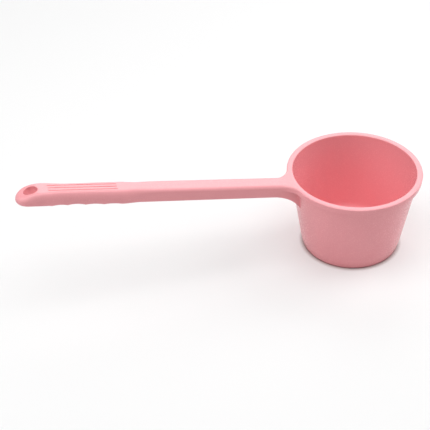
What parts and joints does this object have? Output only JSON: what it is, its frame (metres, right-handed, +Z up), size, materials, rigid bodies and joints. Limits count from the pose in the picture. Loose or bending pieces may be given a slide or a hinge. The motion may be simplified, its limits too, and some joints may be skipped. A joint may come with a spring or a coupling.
{
  "type": "water dipper",
  "caption": "Tapered round moulded-plastic dipper cup with a turned-down lip and a long rising channel handle with finger scallops, grip grooves and a hang hole, for scooping water.",
  "frame": {"origin": "centre of the cup's foot ring, on the surface that the dipper stands on", "axes": "+Z up along the cup's axis, -X out along the handle, Y across it"},
  "size_m": [0.4224, 0.14, 0.1308],
  "materials": {
    "moulded_polypropylene": "satin"
  },
  "bodies": {
    "root": {"cup": "moulded_polypropylene", "handle": "moulded_polypropylene"}
  },
  "joints": []
}
